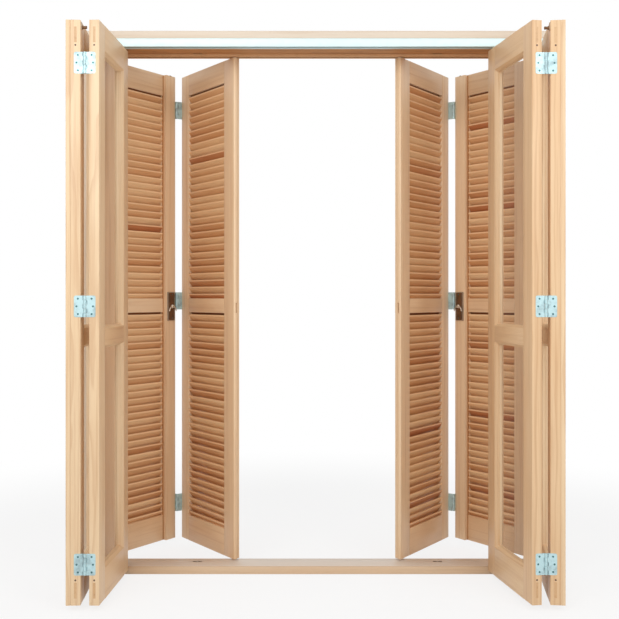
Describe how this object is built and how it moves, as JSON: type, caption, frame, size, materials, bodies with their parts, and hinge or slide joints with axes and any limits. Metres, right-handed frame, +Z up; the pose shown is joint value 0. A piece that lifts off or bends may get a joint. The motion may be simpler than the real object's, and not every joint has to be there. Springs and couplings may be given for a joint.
{
  "type": "folding balcony door",
  "caption": "Timber balcony door: glazed leaf pairs fold into the room and louvred shutter pairs fold out, hung on pivots and runners in one frame.",
  "frame": {"origin": "on the sill's underside, midway between the jambs and midway in the frame's depth", "axes": "+X to the right seen from the room, +Y from the room to the outside, +Z up"},
  "size_m": [1.888, 0.9222, 2.15],
  "materials": {
    "frame_wood": "clear satin varnish on pale pine",
    "stained_wood": "brown stain, satin",
    "leaf_wood": "clear satin varnish on pine",
    "shutter_wood": "clear satin varnish on pine",
    "slat_wood": "honey stain, satin",
    "pane_glass": "clear float glass",
    "track_aluminium": "satin anodised",
    "track_brown": "light brown lacquer",
    "bronze_metal": "dark bronze lacquer",
    "zinc_steel": "bright zinc plate",
    "lever_nickel": "satin nickel plate",
    "keep_brass": "satin brass",
    "runner_nylon": "natural nylon"
  },
  "bodies": {
    "frame": {"jamb_left": "frame_wood", "jamb_right": "frame_wood", "head_board": "frame_wood", "soffit_board": "stained_wood", "sill": "frame_wood", "front_track": "track_aluminium", "back_track": "track_brown", "top_pivots": "zinc_steel", "bottom_pivots": "zinc_steel", "rod_keeps": "keep_brass"},
    "glass_hung_left": {"glass_hung_left_stiles": "leaf_wood", "glass_hung_left_rails": "leaf_wood", "glass_hung_left_panes": "pane_glass", "glass_hung_left_beads": "leaf_wood", "glass_left_hinge_pins": "zinc_steel", "left_bumper": "bronze_metal"},
    "glass_free_left": {"glass_free_left_stiles": "leaf_wood", "glass_free_left_rails": "leaf_wood", "glass_free_left_panes": "pane_glass", "glass_free_left_beads": "leaf_wood", "glass_left_hinge_plates": "zinc_steel"},
    "glass_left_runner": {"glass_left_runner": "runner_nylon"},
    "glass_hung_right": {"glass_hung_right_stiles": "leaf_wood", "glass_hung_right_rails": "leaf_wood", "glass_hung_right_panes": "pane_glass", "glass_hung_right_beads": "leaf_wood", "glass_right_hinge_pins": "zinc_steel", "right_bumper": "bronze_metal"},
    "glass_free_right": {"glass_free_right_stiles": "leaf_wood", "glass_free_right_rails": "leaf_wood", "glass_free_right_panes": "pane_glass", "glass_free_right_beads": "leaf_wood", "glass_right_hinge_plates": "zinc_steel"},
    "glass_right_runner": {"glass_right_runner": "runner_nylon"},
    "shutter_hung_left": {"shutter_hung_left_stiles": "shutter_wood", "shutter_hung_left_rails": "shutter_wood", "shutter_hung_left_slats": "slat_wood", "shutter_left_hinge_pins": "zinc_steel", "left_lock_case": "bronze_metal"},
    "shutter_free_left": {"shutter_free_left_stiles": "shutter_wood", "shutter_free_left_rails": "shutter_wood", "shutter_free_left_slats": "slat_wood", "shutter_left_hinge_plates": "zinc_steel"},
    "shutter_left_runner": {"shutter_left_runner": "runner_nylon"},
    "left_lock_lever": {"left_lock_lever": "lever_nickel"},
    "left_upper_rod": {"left_upper_rod": "zinc_steel"},
    "left_lower_rod": {"left_lower_rod": "zinc_steel"},
    "shutter_hung_right": {"shutter_hung_right_stiles": "shutter_wood", "shutter_hung_right_rails": "shutter_wood", "shutter_hung_right_slats": "slat_wood", "shutter_right_hinge_pins": "zinc_steel", "right_lock_case": "bronze_metal"},
    "shutter_free_right": {"shutter_free_right_stiles": "shutter_wood", "shutter_free_right_rails": "shutter_wood", "shutter_free_right_slats": "slat_wood", "shutter_right_hinge_plates": "zinc_steel"},
    "shutter_right_runner": {"shutter_right_runner": "runner_nylon"},
    "right_lock_lever": {"right_lock_lever": "lever_nickel"},
    "right_upper_rod": {"right_upper_rod": "zinc_steel"},
    "right_lower_rod": {"right_lower_rod": "zinc_steel"}
  },
  "joints": [
    {"name": "glass_left_pair_opens", "type": "hinge", "parent": "frame", "child": "glass_hung_left", "pos_m": [-0.888, -0.06, 1], "axis": [0, 0, -1], "range_deg": [-86.6, 2.4]},
    {"name": "glass_left_pair_folds", "type": "hinge", "parent": "glass_hung_left", "child": "glass_free_left", "pos_m": [-0.82938, -0.49028, 1], "axis": [0, 0, -1], "range_deg": [-4.8, 173.2]},
    {"name": "glass_left_runner_turns", "type": "hinge", "parent": "glass_free_left", "child": "glass_left_runner", "pos_m": [-0.77076, -0.06, 2.066], "axis": [0, 0, -1], "range_deg": [-86.6, 2.4]},
    {"name": "glass_right_pair_opens", "type": "hinge", "parent": "frame", "child": "glass_hung_right", "pos_m": [0.888, -0.06, 1], "axis": [0, 0, 1], "range_deg": [-81.4, 7.6]},
    {"name": "glass_right_pair_folds", "type": "hinge", "parent": "glass_hung_right", "child": "glass_free_right", "pos_m": [0.79062, -0.4832, 1], "axis": [0, 0, 1], "range_deg": [-15.2, 162.8]},
    {"name": "glass_right_runner_turns", "type": "hinge", "parent": "glass_free_right", "child": "glass_right_runner", "pos_m": [0.69324, -0.06, 2.066], "axis": [0, 0, 1], "range_deg": [-81.4, 7.6]},
    {"name": "shutter_left_pair_opens", "type": "hinge", "parent": "frame", "child": "shutter_hung_left", "pos_m": [-0.891, 0.06, 1], "axis": [0, 0, 1], "range_deg": [-55.6, 33]},
    {"name": "shutter_left_pair_folds", "type": "hinge", "parent": "shutter_hung_left", "child": "shutter_free_left", "pos_m": [-0.6125, 0.39772, 1], "axis": [0, 0, 1], "range_deg": [-66, 111.2]},
    {"name": "shutter_left_runner_turns", "type": "hinge", "parent": "shutter_free_left", "child": "shutter_left_runner", "pos_m": [-0.33399, 0.06, 2.066], "axis": [0, 0, 1], "range_deg": [-55.6, 33]},
    {"name": "left_upper_rod_slides", "type": "slide", "parent": "shutter_hung_left", "child": "left_upper_rod", "axis": [0, 0, 1], "range_m": [0, 0.024]},
    {"name": "left_lower_rod_slides", "type": "slide", "parent": "shutter_hung_left", "child": "left_lower_rod", "axis": [0, 0, -1], "range_m": [-0.0005, 0.0255]},
    {"name": "left_lock_turns", "type": "hinge", "parent": "shutter_hung_left", "child": "left_lock_lever", "pos_m": [-0.63661, 0.37666, 1.062], "axis": [-0.8251, 0.565, 0], "range_deg": [-2, 92]},
    {"name": "shutter_right_pair_opens", "type": "hinge", "parent": "frame", "child": "shutter_hung_right", "pos_m": [0.891, 0.06, 1], "axis": [0, 0, -1], "range_deg": [-55.6, 33]},
    {"name": "shutter_right_pair_folds", "type": "hinge", "parent": "shutter_hung_right", "child": "shutter_free_right", "pos_m": [0.6125, 0.39772, 1], "axis": [0, 0, -1], "range_deg": [-66, 111.2]},
    {"name": "shutter_right_runner_turns", "type": "hinge", "parent": "shutter_free_right", "child": "shutter_right_runner", "pos_m": [0.33399, 0.06, 2.066], "axis": [0, 0, -1], "range_deg": [-55.6, 33]},
    {"name": "right_upper_rod_slides", "type": "slide", "parent": "shutter_hung_right", "child": "right_upper_rod", "axis": [0, 0, 1], "range_m": [0, 0.024]},
    {"name": "right_lower_rod_slides", "type": "slide", "parent": "shutter_hung_right", "child": "right_lower_rod", "axis": [0, 0, -1], "range_m": [-0.0005, 0.0255]},
    {"name": "right_lock_turns", "type": "hinge", "parent": "shutter_hung_right", "child": "right_lock_lever", "pos_m": [0.63661, 0.37666, 1.062], "axis": [-0.8251, -0.565, 0], "range_deg": [-2, 92]}
  ],
  "couplings": [
    {"joint": "glass_left_pair_folds", "follows": "glass_left_pair_opens", "ratio": -2},
    {"joint": "glass_left_runner_turns", "follows": "glass_left_pair_opens", "ratio": 1},
    {"joint": "glass_right_pair_folds", "follows": "glass_right_pair_opens", "ratio": -2},
    {"joint": "glass_right_runner_turns", "follows": "glass_right_pair_opens", "ratio": 1},
    {"joint": "shutter_left_pair_folds", "follows": "shutter_left_pair_opens", "ratio": -2},
    {"joint": "shutter_left_runner_turns", "follows": "shutter_left_pair_opens", "ratio": 1},
    {"joint": "left_lower_rod_slides", "follows": "left_upper_rod_slides", "ratio": 1},
    {"joint": "left_lock_turns", "follows": "left_upper_rod_slides", "rad_per_m": 65.45},
    {"joint": "shutter_right_pair_folds", "follows": "shutter_right_pair_opens", "ratio": -2},
    {"joint": "shutter_right_runner_turns", "follows": "shutter_right_pair_opens", "ratio": 1},
    {"joint": "right_lower_rod_slides", "follows": "right_upper_rod_slides", "ratio": 1},
    {"joint": "right_lock_turns", "follows": "right_upper_rod_slides", "rad_per_m": 65.45}
  ]
}
